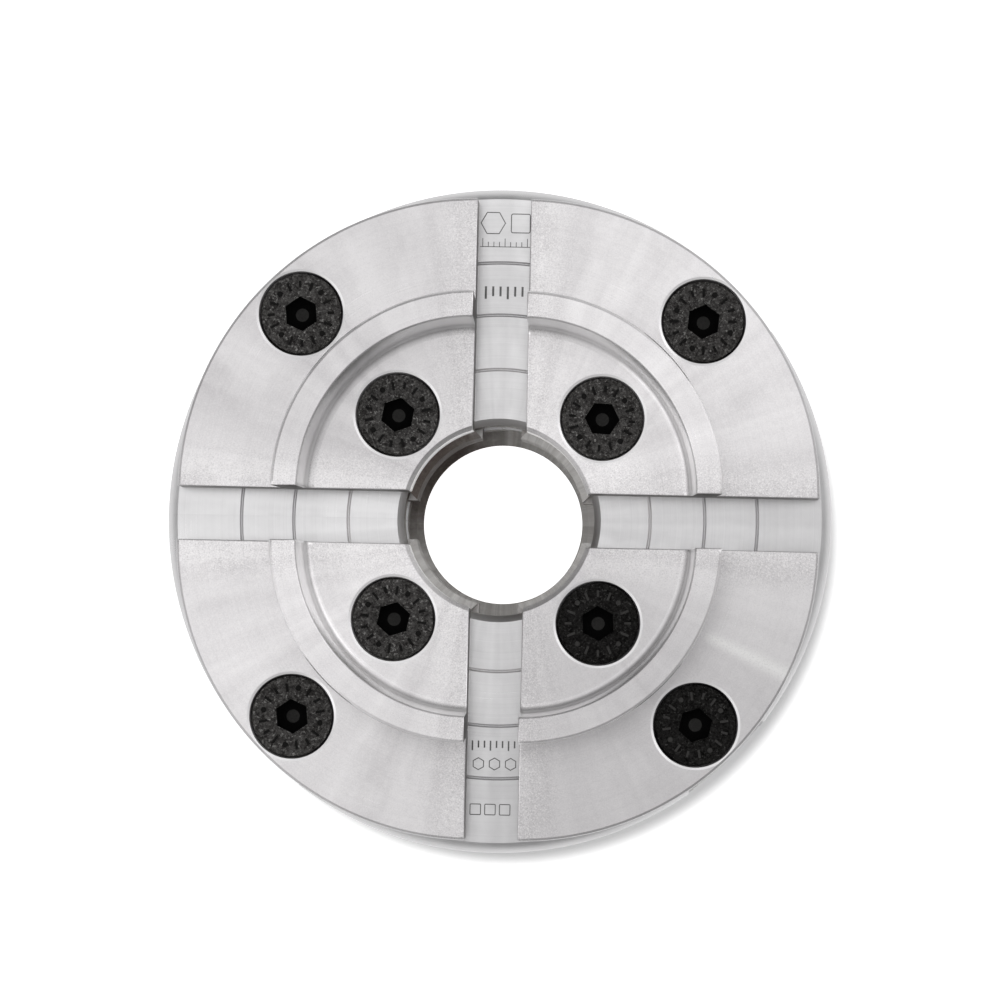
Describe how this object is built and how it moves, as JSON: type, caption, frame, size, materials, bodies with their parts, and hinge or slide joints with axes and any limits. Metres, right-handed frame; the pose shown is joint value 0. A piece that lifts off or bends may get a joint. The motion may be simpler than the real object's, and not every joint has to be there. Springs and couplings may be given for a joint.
{
  "type": "lathe chuck",
  "caption": "Self-centring scroll chuck for a wood lathe: quadrant jaws with a raised gripping ring on a round body, driven by a spiral and bevel pinions, through bore.",
  "frame": {"origin": "centre of the back face of the hub, on the spindle axis", "axes": "+Z along the spindle axis towards the jaws; the jaws travel on the diagonals of X and Y; the pinions lie along X"},
  "size_m": [0.095, 0.095, 0.0665],
  "materials": {
    "body_steel": "bright turned steel, fine concentric tool marks",
    "jaw_steel": "bright turned steel with a fine blasted grain near the sawn edges",
    "slide_steel": "ground steel, slightly oily",
    "scroll_steel": "machined steel, oiled",
    "pinion_steel": "hardened steel, dull grey",
    "plate_steel": "bright turned steel",
    "spring_steel": "spring steel, dull",
    "black_screw": "black oxide, rough forged head"
  },
  "bodies": {
    "chuck": {"chuck_body": "body_steel", "back_plate": "plate_steel", "back_plate_screw_1": "black_screw", "back_plate_screw_2": "black_screw", "back_plate_screw_3": "black_screw", "back_plate_screw_4": "black_screw", "back_plate_screw_5": "black_screw", "back_plate_screw_6": "black_screw", "pinion_pin_a": "spring_steel", "pinion_pin_b": "spring_steel", "scroll_circlip": "spring_steel", "spindle_set_screw_a": "black_screw", "spindle_set_screw_b": "black_screw"},
    "scroll": {"scroll_ring": "scroll_steel"},
    "pinion_left": {"pinion_b": "pinion_steel"},
    "pinion_right": {"pinion_a": "pinion_steel"},
    "jaw_set_1": {"jaw_slide_1": "slide_steel", "jaw_1": "jaw_steel", "jaw_screw_1_inner": "black_screw", "jaw_screw_1_outer": "black_screw"},
    "jaw_set_2": {"jaw_slide_2": "slide_steel", "jaw_2": "jaw_steel", "jaw_screw_2_inner": "black_screw", "jaw_screw_2_outer": "black_screw"},
    "jaw_set_3": {"jaw_slide_3": "slide_steel", "jaw_3": "jaw_steel", "jaw_screw_3_inner": "black_screw", "jaw_screw_3_outer": "black_screw"},
    "jaw_set_4": {"jaw_slide_4": "slide_steel", "jaw_4": "jaw_steel", "jaw_screw_4_inner": "black_screw", "jaw_screw_4_outer": "black_screw"}
  },
  "joints": [
    {"name": "scroll_spin", "type": "hinge", "parent": "chuck", "child": "scroll", "pos_m": [0, 0, 0.033], "axis": [0, 0, 1], "range_deg": [-252, 540]},
    {"name": "pinion_right_spin", "type": "hinge", "parent": "chuck", "child": "pinion_right", "pos_m": [0.042, 0, 0.0215], "axis": [1, 0, 0], "range_deg": [-3242, 1514]},
    {"name": "pinion_left_spin", "type": "hinge", "parent": "chuck", "child": "pinion_left", "pos_m": [-0.042, 0, 0.0215], "axis": [-1, 0, 0], "range_deg": [-3242, 1514]},
    {"name": "jaw_travel_1", "type": "slide", "parent": "chuck", "child": "jaw_set_1", "axis": [0.7071, 0.7071, 0], "range_m": [-0.0035, 0.00751]},
    {"name": "jaw_travel_2", "type": "slide", "parent": "chuck", "child": "jaw_set_2", "axis": [-0.7071, 0.7071, 0], "range_m": [-0.0035, 0.00751]},
    {"name": "jaw_travel_3", "type": "slide", "parent": "chuck", "child": "jaw_set_3", "axis": [-0.7071, -0.7071, 0], "range_m": [-0.0035, 0.00751]},
    {"name": "jaw_travel_4", "type": "slide", "parent": "chuck", "child": "jaw_set_4", "axis": [0.7071, -0.7071, 0], "range_m": [-0.0035, 0.00751]}
  ],
  "couplings": [
    {"joint": "pinion_right_spin", "follows": "scroll_spin", "ratio": -6},
    {"joint": "pinion_left_spin", "follows": "scroll_spin", "ratio": -6},
    {"joint": "jaw_travel_1", "follows": "scroll_spin", "m_per_rad": 0.00079577},
    {"joint": "jaw_travel_2", "follows": "scroll_spin", "m_per_rad": 0.00079577},
    {"joint": "jaw_travel_3", "follows": "scroll_spin", "m_per_rad": 0.00079577},
    {"joint": "jaw_travel_4", "follows": "scroll_spin", "m_per_rad": 0.00079577}
  ]
}
